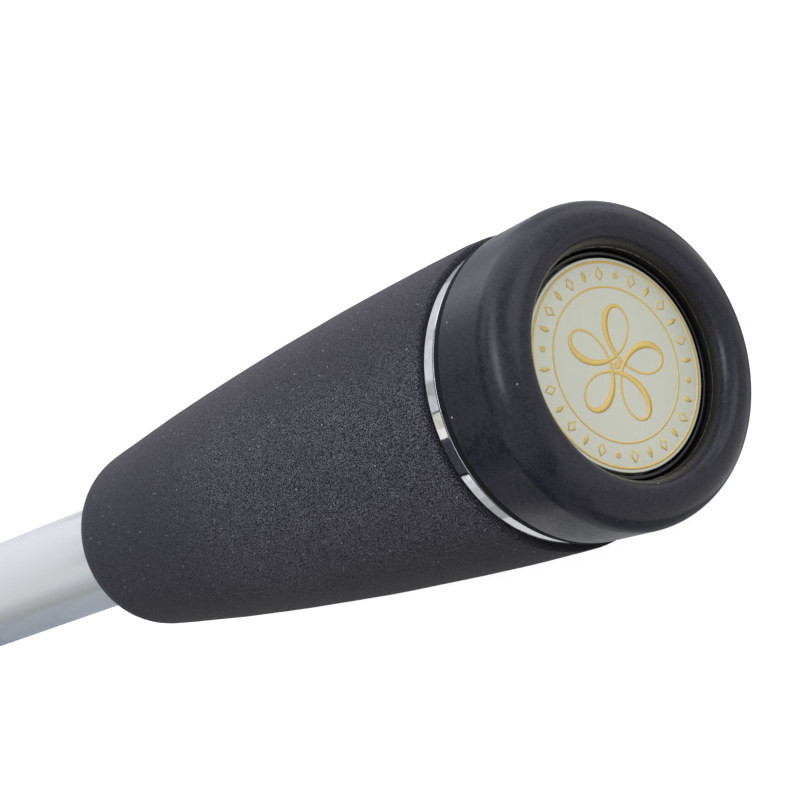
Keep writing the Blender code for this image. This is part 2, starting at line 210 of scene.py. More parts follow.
def build_cards():
    """What the cap and the tube reflect, from the floor and from beside and behind the cane."""
    black, open_sky = (0.012, 0.012, 0.018), (0.70, 0.71, 0.73)
    near, far, high = -0.102, -0.16, 0.075         # the black corner beside the grip
    line, past_line = -0.0235, -0.004              # where the floor turns pale under the cap
    lip_back, lip_front = 0.4925, 0.4985           # the dark strip below the lip
    back = 1.0                                     # the wall behind the cane
    floor_card("floor_sheen", open_sky, (-1.5, 1.0), (-1.5, 1.5), UNDER_CARD)
    floor_card("dark_floor", black, (0.25, 0.42), (far, near))
    side_card("dark_wall", black, (0.2, 0.36), (far, 0), (far, high))
    side_card("dim_wall", (0.27, 0.28, 0.30), (0.25, 0.45), (0.006, 0.1225), (-0.054, 0.109))
    side_card("dim_wall_low", (0.15, 0.16, 0.18), (0.25, 0.45), (-0.054, 0.109), (-0.0995, 0.054))
    floor_card("floor_behind", (0.98, 0.99, 1.02), (0.49, 1.0), (0.05, 1.0), LOW_CARD)
    floor_card("dim_behind", (0.22, 0.23, 0.25), (0.3, 0.47), (0.05, 0.5), LOW_CARD)
    side_card("wall_behind", (1.15, 1.16, 1.19), (0.3, 0.8), (back, 0.0), (back, 0.85))
    side_card("wall_behind_right", (0.80, 0.81, 0.84), (0.8, 1.2), (back, 0.0), (back, 0.85))
    slanted = [(-1.1, back, 0.0), (0.3, back, 0.0), (0.3, back, 1.2), (-1.75, back, 1.2)]
    reflected_card("dim_wall_behind", slanted, (0.48, 0.50, 0.55))
    floor_card("dim_floor", (0.08, 0.085, 0.10), (0.36, 0.485), (near, line))
    floor_card("edge_floor", (0.38, 0.39, 0.42), (0.485, 0.505), (near, line))
    floor_card("half_floor", (0.48, 0.49, 0.52), (0.4785, lip_back), (line, past_line))
    floor_card("pale_floor", (0.85, 0.86, 0.89), (lip_front, 0.52), (line, 0.012))
    floor_card("dark_by_lip", (0.25, 0.26, 0.28), (lip_back, lip_front), (line, 0.02))
    floor_card("dark_behind_lip", (0.25, 0.26, 0.28), (0.44, lip_front), (0.02, 0.06))
    floor_card("dark_in_front", (0.10, 0.11, 0.13), (0.505, 0.60), (-0.11, -0.05))
    floor_card("dim_in_front", (0.75, 0.76, 0.79), (0.505, 0.60), (-0.05, -0.035))
    floor_card("bright_in_front", (1.1, 1.11, 1.14), (0.52, 0.62), (-0.035, 0.02))

    under_tube, (shade, step) = (-0.022, 0.045), ((0.25, 0.29, 0.36), 0.055)
    stops = (-0.45, 0.345, 0.362, 0.379, 0.4)
    for i, x_range in enumerate(zip(stops, stops[1:])):
        tone = tuple(part + step * i for part in shade)
        floor_card(f"shade_by_tube_{i}", tone, x_range, under_tube)
    edges = (under_tube[0], -0.036, -0.06, -0.11, -0.25, -0.6)
    for i, (inner, outer, tone) in enumerate(zip(edges, edges[1:], (0.25, 0.33, 0.42, 0.52, 0.62))):
        floor_card(f"shade_beside_tube_{i}", (tone, tone * 1.05, tone * 1.14), (-1.5, 0.367),
                   (outer, inner), LOW_CARD)


def build_ring_cards():
    """Narrow cards for the polished ring, in the order in which it shows them from its top down."""
    strip = (0.377, 0.393)
    corners = [(0.0707, 0.088), (-0.005, 0.117), (-0.0515, 0.103), (-0.065, 0.093), (-0.079, 0.079),
               (-0.0885, 0.0625), (-0.0945, 0.0515), (-0.1005, 0.006)]
    tones = [(0.85, 0.86, 0.89), (1.0, 1.01, 1.04), (0.61, 0.62, 0.65), (0.84, 0.85, 0.88),
             (1.0, 0.94, 0.86), (1.3, 1.27, 1.22), (0.06, 0.065, 0.085)]
    for i, (start, end, tone) in enumerate(zip(corners, corners[1:], tones)):
        side_card(f"ring_strip_{i}", tone, strip, start, end)

    # (x, y, half the width) along the ribbon on the floor
    path = [(0.372, -0.108, 0.006), (0.405, -0.080, 0.006), (0.430, -0.060, 0.005),
            (0.4495, -0.0420, 0.004), (0.460, -0.0325, 0.003), (0.468, -0.0246, 0.003),
            (0.4752, -0.0160, 0.0025), (0.4799, -0.0076, 0.0025)]
    tones = (1.2, 0.95, 0.76, 0.6, 0.5, 0.9, 0.85)
    for i, ((x0, y0, half0), (x1, y1, half1), tone) in enumerate(zip(path, path[1:], tones)):
        corners = [(x0 - half0, y0), (x0 + half0, y0), (x1 + half1, y1), (x1 - half1, y1)]
        reflected_card(f"ring_ribbon_{i}", [(x, y, TOP_CARD) for x, y in corners],
                       (tone, tone * 1.01, tone * 1.04))


# ---------------------------------------------------------------- finishes

class Finish:
    """A Principled shader and a few procedural nodes, in metres where the piece was made."""

    def __init__(self, name, colour, roughness, **sockets):
        self.material = bpy.data.materials.new(name)
        self.material.use_nodes = True
        self.tree = self.material.node_tree
        self.shader = self.tree.nodes["Principled BSDF"]
        self.shader.inputs["Base Color"].default_value = (*colour, 1)
        self.shader.inputs["Roughness"].default_value = roughness
        for socket, value in sockets.items():
            self.shader.inputs[socket.replace("_", " ")].default_value = value
        self.place = self.add("ShaderNodeTexCoord").outputs["Object"]
        self.normal = None

    def add(self, kind, inputs=None, **settings):
        node = self.tree.nodes.new(kind)
        for key, value in settings.items():
            setattr(node, key, value)
        for key, value in (inputs or {}).items():
            if isinstance(value, bpy.types.NodeSocket):
                self.tree.links.new(value, node.inputs[key])
            else:
                node.inputs[key].default_value = value
        return node

    def stretched(self, scale):
        """The piece's coordinates, scaled by (x, y, z)."""
        return self.add("ShaderNodeMapping", {"Vector": self.place, "Scale": scale}).outputs[0]

    def noise(self, size_mm, detail=2.0, place=None):
        """Soft noise from 0 to 1 whose blobs are about size_mm wide."""
        return self.add("ShaderNodeTexNoise", {
            "Vector": place or self.place, "Scale": 1 / (size_mm * MM),
            "Detail": detail}).outputs[0]

    def specks(self, size_mm, share, radius):
        """1 inside round specks, in that share of cells size_mm wide, else 0."""
        cells = self.add("ShaderNodeTexVoronoi", {
            "Vector": self.place, "Scale": 1 / (size_mm * MM)}).outputs
        lot = self.add("ShaderNodeSeparateColor", {"Color": cells["Color"]}).outputs[0]
        chosen = self.math("LESS_THAN", lot, share)
        return self.math("MULTIPLY", chosen, self.math("LESS_THAN", cells["Distance"], radius))

    def vector_math(self, operation, a, b=(0, 0, 0)):
        return self.add("ShaderNodeVectorMath", {0: a, 1: b}, operation=operation).outputs

    def from_axis(self):
        """Distance from the cane's axis, in metres."""
        place = self.vector_math("ADD", self.place, (0, 0, -AXIS_Z))[0]
        across = self.vector_math("MULTIPLY", place, (0, 1, 1))[0]
        return self.vector_math("LENGTH", across)["Value"]

    def toward(self, side):
        """Distance from the cane's axis toward one fixed side of the cane, in metres."""
        place = self.vector_math("ADD", self.place, (0, 0, -AXIS_Z))[0]
        return self.vector_math("DOT_PRODUCT", place, (0, side.y, side.z))["Value"]

    def math(self, operation, a, b=0.0):
        return self.add("ShaderNodeMath", {0: a, 1: b}, operation=operation).outputs[0]

    def between(self, value, low, high, to_low=0.0, to_high=1.0):
        """value, stretched from low..high to to_low..to_high and held there."""
        return self.add("ShaderNodeMapRange", {
            "Value": value, "From Min": low, "From Max": high,
            "To Min": to_low, "To Max": to_high}, interpolation_type="SMOOTHSTEP").outputs[0]

    def mix(self, share, a, b):
        """Colour a where share is 0 and colour b where it is 1."""
        colours = [(*c, 1) if isinstance(c, tuple) else c for c in (a, b)]
        return self.add("ShaderNodeMix", {"Factor": share, 6: colours[0], 7: colours[1]},
                        data_type="RGBA").outputs[2]

    def feed(self, socket, source):
        self.tree.links.new(source, self.shader.inputs[socket])

    def bump(self, height, depth_mm, strength=1.0):
        """Raises the surface by height times depth_mm, on top of any bump before it."""
        inputs = {"Height": height, "Distance": depth_mm * MM, "Strength": strength}
        if self.normal is not None:
            inputs["Normal"] = self.normal
        self.normal = self.add("ShaderNodeBump", inputs).outputs[0]
        self.feed("Normal", self.normal)


def make_rubber(shaded_side):
    """Moulded rubber: satin with a fine mottle and dust, grit in the recess with painted shade
    towards one side, and a near-black matt rear rim of painted shade.
    """
    finish = Finish("black_rubber", (0.016, 0.016, 0.024), 0.28, Specular_IOR_Level=0.34)
    blotch, fine, grit = finish.noise(0.9, 3.0), finish.noise(0.2, 2.0), finish.noise(0.14, 2.0)
    dust = finish.math("MAXIMUM", finish.specks(1.1, 0.08, 0.085), finish.specks(2.3, 0.07, 0.06))
    along = finish.add("ShaderNodeSeparateXYZ", {"Vector": finish.place}).outputs["X"]
    inside = finish.between(finish.from_axis(), 12.36 * MM, 12.46 * MM, 1.0, 0.0)
    # painted shade: the rear rim by the ring is near-black and matt, for the shaded gap there
    back = finish.between(along, FRONT - 10.65 * MM, FRONT - 10.55 * MM, 1.0, 0.0)
    # painted shade: the recess grit darkens towards the shaded side
    painted_shade = finish.between(finish.toward(shaded_side), 1 * MM, 8 * MM, 0.0, 0.75)

    texture = finish.math("ADD", finish.math("MULTIPLY", blotch, 0.2),
                          finish.math("MULTIPLY", fine, 0.8))
    outside = finish.mix(finish.between(texture, 0.36, 0.64),
                         (0.009, 0.009, 0.014), (0.024, 0.024, 0.034))
    grit_and_shade = finish.mix(finish.between(grit, 0.35, 0.7),
                        (0.010, 0.0095, 0.009), (0.045, 0.041, 0.036))
    grit_and_shade = finish.mix(painted_shade, grit_and_shade, (0.005, 0.005, 0.005))
    base = finish.mix(inside, outside, grit_and_shade)
    # painted shade on the rear rim
    base = finish.mix(back, base, (0.003, 0.003, 0.003))
    finish.feed("Base Color", finish.mix(dust, base, (0.4, 0.4, 0.4)))

    gloss = finish.between(blotch, 0.3, 0.7, 0.22, 0.32)
    rough = finish.math("MAXIMUM", finish.math("MULTIPLY", inside, 0.5),
                        finish.math("MULTIPLY", back, 0.9))
    finish.feed("Roughness", finish.math("MAXIMUM", gloss, rough))
    finish.bump(fine, 0.011)
    finish.bump(finish.math("MULTIPLY", grit, inside), 0.04)
    finish.bump(dust, 0.03)
    return finish.material


def make_worn_rubber(shaded_side):
    """The pale, worn moulding line round the recess, with painted shade that darkens it towards one
    side.
    """
    finish = Finish("worn_rubber", (0.2, 0.18, 0.14), 0.4)
    wear = finish.noise(0.35, 3.0)
    # painted shade: the pale line fades to dark towards the shaded side
    unshaded_share = finish.between(finish.toward(shaded_side), 1 * MM, 7 * MM, 1.0, 0.1)
    pale = finish.math("MULTIPLY", finish.between(wear, 0.42, 0.66), unshaded_share)
    finish.feed("Base Color", finish.mix(pale, (0.02, 0.019, 0.018), (0.42, 0.38, 0.31)))
    finish.bump(wear, 0.01)
    return finish.material


def make_gloss_black():
    """Glossy plastic of the cup that holds the medallion."""
    finish = Finish("gloss_black", (0.008, 0.008, 0.008), 0.12)
    finish.feed("Roughness", finish.between(finish.noise(0.8), 0.3, 0.7, 0.08, 0.2))
    finish.bump(finish.noise(0.15), 0.01)
    return finish.material


def make_champagne(hairline):
    """Pale anodised metal, brushed along the hairline direction."""
    finish = Finish("champagne_disc", (0.80, 0.81, 0.66), 0.38, Metallic=0.25)
    across = Vector((1, 0, 0)).cross(hairline)
    over = finish.vector_math("DOT_PRODUCT", finish.place, across)["Value"]
    along = finish.vector_math("DOT_PRODUCT", finish.place, hairline)["Value"]
    lines_place = finish.add("ShaderNodeCombineXYZ", {
        "X": over, "Y": finish.math("MULTIPLY", along, 0.02)}).outputs[0]
    lines = finish.noise(0.12, 2.0, lines_place)
    finish.feed("Base Color", finish.mix(lines, (0.705, 0.715, 0.575), (0.755, 0.765, 0.62)))
    finish.feed("Roughness", finish.between(lines, 0.2, 0.8, 0.3, 0.45))
    finish.bump(lines, 0.002)
    return finish.material


def make_gold():
    """Gold print with a faint grain."""
    finish = Finish("gold_print", (0.95, 0.66, 0.17), 0.45)
    grain = finish.noise(0.2)
    finish.feed("Base Color", finish.mix(grain, (0.90, 0.62, 0.15), (1.0, 0.72, 0.22)))
    finish.bump(grain, 0.003)
    return finish.material


def make_chrome():
    """Polished trim with pits and a few dull scuffs."""
    finish = Finish("polished_trim", (0.61, 0.62, 0.63), 0.06, Metallic=1.0)
    pits = finish.specks(0.7, 0.3, 0.09)
    scuffs = finish.between(finish.noise(0.2, 2.0), 0.66, 0.74, 0.0, 0.5)
    soft = finish.between(finish.noise(0.6), 0.3, 0.7, 0.04, 0.12)
    finish.feed("Roughness", finish.math("MAXIMUM", soft, scuffs))
    finish.bump(pits, -0.01)
    finish.bump(finish.noise(3.0), 0.01)
    return finish.material


def make_foam():
    """Closed-cell foam: calm at the small end, worn to a pale grain towards the ring that is partly
    painted glints; painted shade makes it darker low down and on top.
    """
    finish = Finish("eva_foam", (0.035, 0.034, 0.042), 0.9, Specular_IOR_Level=0.2,
                    Sheen_Weight=0.14, Sheen_Roughness=0.3, Sheen_Tint=(1.0, 0.94, 0.90, 1.0))
    grain, mottle = finish.noise(0.14, 1.0), finish.noise(2.2, 3.0)
    place = finish.add("ShaderNodeSeparateXYZ", {"Vector": finish.place}).outputs
    along, height = place["X"], place["Z"]
    end_near, end_far = FRONT - FOAM_END * MM, FRONT - FOAM_START * MM

    wear_and_glint = finish.between(along, end_near + 18 * MM, end_near + 45 * MM, 0.12, 0.95)
    wear_and_glint = finish.math("ADD", wear_and_glint, finish.between(along, end_far - 30 * MM, end_far, 0.0, 0.1))
    # painted shade: fewer pale flecks low down and on top
    for low, high, at_low, at_high in ((5, 14, 0.2, 1.0), (29.5, 33.5, 1.0, 0.5)):
        wear_and_glint = finish.math("MULTIPLY", wear_and_glint,
                             finish.between(height, low * MM, high * MM, at_low, at_high))

    # pale flecks near the ring: wear, and painted glints of foam cells catching light
    sharp, flecks = finish.between(grain, 0.36, 0.64), finish.between(grain, 0.44, 0.62)
    calm = finish.mix(sharp, (0.023, 0.022, 0.029), (0.051, 0.050, 0.061))
    rough = finish.mix(flecks, (0.007, 0.0065, 0.010), (0.152, 0.149, 0.170))
    base = finish.mix(wear_and_glint, calm, rough)
    # a random mottle, then painted shade: darker low down and on top
    for share, colour in (
            (finish.between(mottle, 0.35, 0.65, 0.0, 0.3), (0.040, 0.039, 0.048)),
            (finish.between(height, 6 * MM, 19 * MM, 0.6, 0.0), (0.013, 0.0125, 0.015)),
            (finish.between(height, 28 * MM, 33.5 * MM, 0.0, 0.3), (0.020, 0.019, 0.021))):
        base = finish.mix(share, base, colour)
    # pale specks: dust, and painted glints
    bright = finish.math("MAXIMUM", finish.specks(0.5, 0.05, 0.15), finish.specks(1.9, 0.04, 0.055))
    finish.feed("Base Color", finish.mix(bright, base, (0.5, 0.5, 0.51)))
    finish.bump(mottle, 0.03)
    finish.bump(grain, 0.05)
    return finish.material


def make_white_paint():
    """Pearl white paint under a clear coat."""
    finish = Finish("white_paint", (0.68, 0.70, 0.70), 0.12, Metallic=0.35, Coat_Weight=1.0,
                    Coat_Roughness=0.03)
    flake = finish.noise(0.08, 1.0)
    finish.feed("Base Color", finish.mix(flake, (0.69, 0.71, 0.68), (0.75, 0.77, 0.74)))
    finish.bump(finish.noise(2.5), 0.004)
    return finish.material


def make_red_sheeting():
    """Red reflective sheeting: a clear face over fine glass beads."""
    finish = Finish("red_paint", (0.55, 0.02, 0.02), 0.35, Coat_Weight=0.8, Coat_Roughness=0.06)
    beads = finish.noise(0.12, 1.0)
    finish.feed("Base Color", finish.mix(beads, (0.36, 0.004, 0.006), (0.52, 0.010, 0.012)))
    finish.bump(beads, 0.01)
    return finish.material


def make_nylon():
    """Moulded black nylon, unevenly satin."""
    finish = Finish("black_nylon", (0.02, 0.02, 0.021), 0.45)
    grain = finish.noise(0.3, 3.0)
    finish.feed("Roughness", finish.between(finish.noise(4.0), 0.3, 0.7, 0.38, 0.52))
    finish.bump(grain, 0.01)
    return finish.material


def make_metal(name, low, high, roughness, line_mm=0.15):
    """Turned metal: fine rings from the tool, across the axis."""
    finish = Finish(name, low, roughness, Metallic=1.0)
    rings = finish.noise(line_mm, 2.0, finish.stretched((1.0, 0.02, 0.02)))
    finish.feed("Base Color", finish.mix(rings, low, high))
    finish.feed("Roughness", finish.between(rings, 0.2, 0.8, roughness - 0.08, roughness + 0.08))
    finish.bump(rings, 0.003)
    return finish.material


def make_felt():
    """Grey felt, for the wipers and the foam tape."""
    finish = Finish("felt", (0.2, 0.2, 0.2), 0.95, Sheen_Weight=0.3)
    fibres = finish.noise(0.25, 4.0)
    finish.feed("Base Color", finish.mix(fibres, (0.14, 0.14, 0.14), (0.3, 0.3, 0.3)))
    finish.bump(fibres, 0.08)
    return finish.material


def make_pale_nylon():
    """Pale nylon of the roller tip, clouded and scuffed round its side."""
    finish = Finish("pale_nylon", (0.72, 0.72, 0.69), 0.38, Subsurface_Weight=0.05)
    cloud = finish.noise(6.0, 3.0)
    scuffs = finish.noise(0.5, 4.0, finish.stretched((1.0, 0.15, 0.15)))
    base = finish.mix(cloud, (0.68, 0.68, 0.65), (0.76, 0.76, 0.73))
    finish.feed("Base Color", finish.mix(finish.between(scuffs, 0.62, 0.72, 0.0, 0.6), base,
                                         (0.42, 0.41, 0.39)))
    finish.bump(scuffs, 0.02)
    return finish.material


# ---------------------------------------------------------------- shapes

SHARE_ROUNDED = 0.45       # the most of an outline's side that the rounding of one corner takes


def quarter(start, end, leaves, count=12):
    """Points of a quarter ellipse from start to end; it leaves start along "r" or "u"."""
    points = []
    for i in range(1, count + 1):
        rise, run = 1 - cos(pi / 2 * i / count), cos(pi / 2 * (1 - i / count))
        along_u, along_r = (rise, run) if leaves == "r" else (run, rise)
        points.append((start[0] + (end[0] - start[0]) * along_u,
                       start[1] + (end[1] - start[1]) * along_r))
    return points


def soften(outline, size, count=5, loop=True):
    """Rounds an outline's corners; it takes at most SHARE_ROUNDED of either side."""
    points = [Vector(p) for p in outline]
    rounded = []
    for i, corner in enumerate(points):
        if not loop and i in (0, len(points) - 1):
            rounded.append(tuple(corner))
            continue
        before, after = points[i - 1] - corner, points[(i + 1) % len(points)] - corner
        reach = min(size, SHARE_ROUNDED * before.length, SHARE_ROUNDED * after.length)
        a, b = corner + before.normalized() * reach, corner + after.normalized() * reach
        for k in range(count + 1):
            t = k / count
            rounded.append(tuple(a * (1 - t) ** 2 + corner * 2 * t * (1 - t) + b * t * t))
    return rounded


def refine(outline, step):
    """Adds points so that no stretch of an open outline is longer than step."""
    fine = [outline[0]]
    for (u0, r0), (u1, r1) in zip(outline, outline[1:]):
        count = max(1, round(hypot(u1 - u0, r1 - r0) / step))
        fine += [(u0 + (u1 - u0) * i / count, r0 + (r1 - r0) * i / count)
                 for i in range(1, count + 1)]
    return fine


def piece_from(name, body, nodes, finish, vertices, faces):
    """A smooth closed mesh that rides on a body and stands for CAD nodes."""
    shape = bmesh.new()
    mesh = bpy.data.meshes.new(name)
    mesh.from_pydata(vertices, [], faces)
    shape.from_mesh(mesh)
    bmesh.ops.recalc_face_normals(shape, faces=shape.faces)
    shape.to_mesh(mesh)
    shape.free()
    mesh.shade_smooth()
    mesh.materials.append(finish)
    piece = bpy.data.objects.new(name, mesh)
    bpy.context.scene.collection.objects.link(piece)
    weighted = piece.modifiers.new("normals", "WEIGHTED_NORMAL")
    weighted.weight = 90
    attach(piece, body)
    if nodes:
        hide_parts(*nodes)
    return piece


def round_line(u, r, thick, sides):
    """The round section, about (u, r), of a ring that is 2 * thick wide."""
    return [(u + thick * cos(tau * k / sides), r + thick * sin(tau * k / sides))
            for k in range(sides)]


def turned(name, body, nodes, finish, outline, steps=STEPS_TUBE, relief=None):
    """Sweeps an outline about the cane's axis.  relief(u, r, angle) may change the radius.

    An outline that starts and ends at r = 0 is a solid, any other closes into a ring.
    """
    solid = outline[0][1] == 0
    inner = outline[1:-1] if solid else outline
    vertices = []
    for u, r in inner:
        for k in range(steps):
            angle = tau * k / steps
            radius = r + relief(u, r, angle) if relief else r
            vertices.append((FRONT - u * MM, radius * MM * cos(angle),
                             AXIS_Z + radius * MM * sin(angle)))
    rows = len(inner)
    faces = []
    for i in range(rows - 1 if solid else rows):
        low, high = i * steps, (i + 1) % rows * steps
        faces += [(low + k, high + k, high + (k + 1) % steps, low + (k + 1) % steps)
                  for k in range(steps)]
    if solid:
        for pole, row in ((outline[0], 0), (outline[-1], rows - 1)):
            vertices.append((FRONT - pole[0] * MM, 0, AXIS_Z))
            faces += [(len(vertices) - 1, row * steps + k, row * steps + (k + 1) % steps)
                      for k in range(steps)]
    return piece_from(name, body, nodes, finish, vertices, faces)


# ---------------------------------------------------------------- grip end

FOAM_START, FOAM_END, FOAM_REACH = span("grip_foam")
FOAM_CURL = 1.8                        # length of the curled-in small end, in millimetres
FOAM_LOW_SIDE = radians(85)            # where the cut edge at the ring sits lowest


def build_cap(rubber, worn):
    """The rubber butt cap: domed lip, tapered wall, narrow rear rim and worn recess line, whose
    finish carries painted shade.
    """
    start, end, radius = span("butt_cap")
    crest, lip_end = (start, radius - 3.43), (start + 3.9, radius)
    rim, rim_r, recess_r = end - 1.1, radius - 0.37, 12.3
    recess_edge = (start + 2.6, recess_r)
    floor, web, pocket_r, pocket = 6.6, 4.9, 11.9, 7.6
    outline = [crest] + quarter(crest, lip_end, "r", 28)
    wall = [lip_end, (rim, rim_r + 0.03), (rim + 0.1, rim_r - 0.03), (rim + 0.25, rim_r),
            (end - 0.1, rim_r - 0.05), (end, rim_r - 0.2), (end, rim_r - 1.2)]
    outline += soften(wall, 0.07, 4, loop=False)[1:]
    outline += [(end, pocket_r + 0.3), (end - 0.3, pocket_r), (pocket, pocket_r),
                (pocket, web + 0.2), (pocket - 0.2, web), (floor + 0.2, web), (floor, web + 0.2),
                (floor, recess_r - 0.2), (floor - 0.2, recess_r),
                (recess_edge[0] + 0.25, recess_r)]
    inner = quarter(recess_edge, crest, "u", 20)
    outline += [(recess_edge[0] + 0.07, recess_r + 0.02)] + inner[:-1]
    turned("butt_cap_rubber", "cap", ["butt_cap"], rubber, outline, STEPS_WIDE)

    def chafing(u, r, angle):
        return 0.035 * noise.noise(Vector((u, r * cos(angle), r * sin(angle))) / 0.6)

    line = round_line(recess_edge[0] - 0.05, recess_r + 0.03, 0.07, 8)
    turned("butt_cap_recess_line", "cap", [], worn, line, STEPS_SKIN, chafing)


def build_medallion(gloss, champagne, gold, up):
    """The medallion: a glossy cup in the cap's recess and the brushed disc with its ornament."""
    start, _, radius = span("medallion_cup")
    floor, wall, hole, well = 5.6, radius - 0.4, 1.8, 3.6
    base, boss, boss_end = 6.3, 4.6, 7.4
    outline = [(start, radius), (base, radius), (base, boss), (boss_end, boss), (boss_end, hole),
               (6.8, hole), (6.8, well), (floor, well), (floor, wall), (start, wall)]
    turned("medallion_holder", "cap", ["medallion_cup"], gloss,
           soften(outline, 0.12, 4), STEPS_WIDE)

    start, end, radius = span("medallion_disc")
    outline = [(start, 0), (start, radius), (end, radius), (end, 0)]
    turned("medallion_plate", "cap", ["medallion_disc"], champagne,
           soften(outline, 0.1, 4, loop=False), STEPS_WIDE)
    build_ornament(start, radius, gold, up)


def build_ornament(face, radius, gold, up):
    """Gold print on the disc: two circles, a band of small marks, and a five-petal rosette."""
    across = up.cross(Vector((1, 0, 0)))
    vertices, faces = [], []

    def stroke(points, widths, lift, loop=True):
        """A flat raised line through 2D points in millimetres, of the given widths."""
        count, first = len(points), len(vertices)
        for i, (x, y) in enumerate(points):
            before = points[i - 1] if loop or i else points[0]
            after = points[(i + 1) % count] if loop or i < count - 1 else points[-1]
            run = Vector((after[0] - before[0], after[1] - before[1])).normalized()
            side = Vector((-run.y, run.x)) * widths[i] / 2
            for depth in (-lift[i] if isinstance(lift, list) else -lift, 0.05):
                for sign in (1, -1):
                    at = across * (x + sign * side.x) + up * (y + sign * side.y)
                    vertices.append(Vector((FRONT - (face + depth) * MM, 0, AXIS_Z)) + at * MM)
        for i in range(count if loop else count - 1):
            a, b = first + 4 * i, first + 4 * ((i + 1) % count)
            faces.extend([(a, a + 1, b + 1, b), (a + 2, b + 2, b + 3, a + 3),
                          (a, b, b + 2, a + 2), (a + 1, a + 3, b + 3, b + 1)])
        if not loop:
            last = first + 4 * (count - 1)
            faces.extend([(first, first + 2, first + 3, first + 1),
                          (last, last + 1, last + 3, last + 2)])

    def circle(radius_mm, width, centre=(0, 0), sides=160, lift=0.03):
        ring = [(centre[0] + radius_mm * cos(tau * k / sides),
                 centre[1] + radius_mm * sin(tau * k / sides)) for k in range(sides)]
        stroke(ring, [width] * sides, lift)

    circle(0.959 * radius, 0.26)
    circle(0.726 * radius, 0.2)
    band, marks = 0.845 * radius, 28
    for k in range(marks):
        angle = tau * k / marks
        out, turn = Vector((sin(angle), cos(angle))), Vector((cos(angle), -sin(angle)))
        middle = out * band
        if k % 7 == 0:
            circle(0.2, 0.28, middle, 16)
        elif k % 2:
            tall, wide = 0.66, 0.44
            stroke([tuple(middle + out * tall), tuple(middle + turn * wide),
                    tuple(middle - out * tall), tuple(middle - turn * wide)], [0.24] * 4, 0.03)
        else:
            stroke([tuple(middle + out * (0.62 - 0.155 * i)) for i in range(9)],
                   [0.1 + 0.44 * sin(pi * i / 8) for i in range(9)], 0.03, loop=False)

    turns, big, small, petals = 360, 3.55, 2.75, 5
    rosette, widths, lifts = [], [], []
    for k in range(turns):
        t = tau * k / turns
        rosette.append((big * sin(t) - small * sin((petals - 1) * t),
                        big * cos(t) + small * cos((petals - 1) * t)))
        widths.append(0.25 + 0.5 * (0.5 + 0.5 * sin(petals * t)) ** 2)
        lifts.append(0.034 + 0.008 * sin(petals * t))
    stroke(rosette, widths, lifts)
    circle(0.3, 0.34, sides=32)
    piece_from("medallion_ornament", "cap", [], gold,
               [tuple(v) for v in vertices], faces)


def build_ring(chrome):
    """The polished ring, set a little forward and in from the solid, with a flat bright face."""
    forward, back_off, inset, bore = 0.12, 0.16, 0.15, 9.3
    start, end, radius = span("trim_ring")
    start, end, radius = start - forward, end - back_off, radius - inset
    outline = [(start, radius - 0.01), (start + 0.2, radius), (end - 0.15, radius),
               (end, radius - 0.02), (end, bore), (start, bore)]
    turned("trim_ring_polished", "upper", ["trim_ring"], chrome,
           soften(outline, 0.07, 4), STEPS_WIDE)


def foam_radius(u, radius):
    """The grip's radius: a parabola from the ring, with a rounded edge at the small end."""
    slope, curve, round_length, round_drop = 0.0268, 0.00066, 3.0, 0.84
    distance, end = u - FOAM_START + 0.3, FOAM_END - FOAM_CURL
    wide = radius - slope * distance - curve * distance ** 2
    into_round = (u - end + round_length) / round_length
    if into_round > 0:
        wide -= round_drop * (1 - sqrt(max(0.0, 1 - into_round ** 2)))
    return wide


def build_foam(foam):
    """The foam grip: long crowned taper with a soft, slightly uneven skin."""
    tube_hole, core, core_end, edge = 6.8, 9.3, 60.3, 0.35
    widest = FOAM_REACH + 0.035
    end = FOAM_END - FOAM_CURL
    front = (FOAM_START, foam_radius(FOAM_START, widest) - edge)
    shoulder = (FOAM_START + edge, foam_radius(FOAM_START + edge, widest))
    outline = [front] + quarter(front, shoulder, "r", 8)
    count, crowding = 150, 1.25            # rows along the taper, closer together at its small end
    outline += [(u, foam_radius(u, widest)) for u in
                (shoulder[0] + (end - shoulder[0]) * (1 - (1 - i / count) ** crowding)
                 for i in range(1, count + 1))]
    outline += quarter(outline[-1], (FOAM_END, tube_hole + 0.5), "u", 14)
    outline += [(FOAM_END - 0.1, tube_hole + 0.15), (FOAM_END - 0.5, tube_hole),
                (core_end, tube_hole), (core_end, core), (FOAM_START, core)]

    def unevenness(u, r, angle):
        if r < tube_hole + 0.4 or (r <= core and u < core_end + 1):
            return 0.0
        at = Vector((u, r * cos(angle), r * sin(angle)))
        near_ring = max(0.0, 1 - (u - FOAM_START) / 2.5)
        return (0.05 * noise.noise(at / 9.0) + 0.012 * noise.noise(at / 1.4)
                + 0.04 * near_ring * noise.noise(at / 0.5)
                - 0.09 * near_ring * (1 + cos(angle - FOAM_LOW_SIDE)))

    piece = turned("grip_foam_skin", "upper", ["grip_foam"], foam, outline,
                   STEPS_SKIN, unevenness)


def build_tubes(white, red):
    """The three tubes; each is named after the body that it rides on."""
    for body, slot, finish, wall in (("upper", "white_paint", white, 0.9),
                                     ("middle", "white_paint", white, 0.85),
                                     ("lower", "red_paint", red, 0.8)):
        start, end, radius = span(body + "_tube")
        outline = [(start, radius), (end, radius), (end, radius - wall), (start, radius - wall)]
        turned(body + "_tube_painted", body, [body + "_tube"], finish,
               soften(outline, 0.25, 4))


# ---------------------------------------------------------------- inside the cap

def thread(u_range, r_range, depth):
    """Relief of a right-handed thread cut into the surfaces inside u_range and r_range."""
    def relief(u, r, angle):
        if not (r_range[0] <= r <= r_range[1] and u_range[0] <= u <= u_range[1]):
            return 0.0
        phase = (u / PITCH + angle / tau) % 1.0
        flank = min(1.0, max(0.0, 3.2 * abs(phase - 0.5) - 0.3))
        ends = min(1.0, (u - u_range[0]) / 0.8, (u_range[1] - u) / 0.8)
        return depth * flank * ends
    return relief


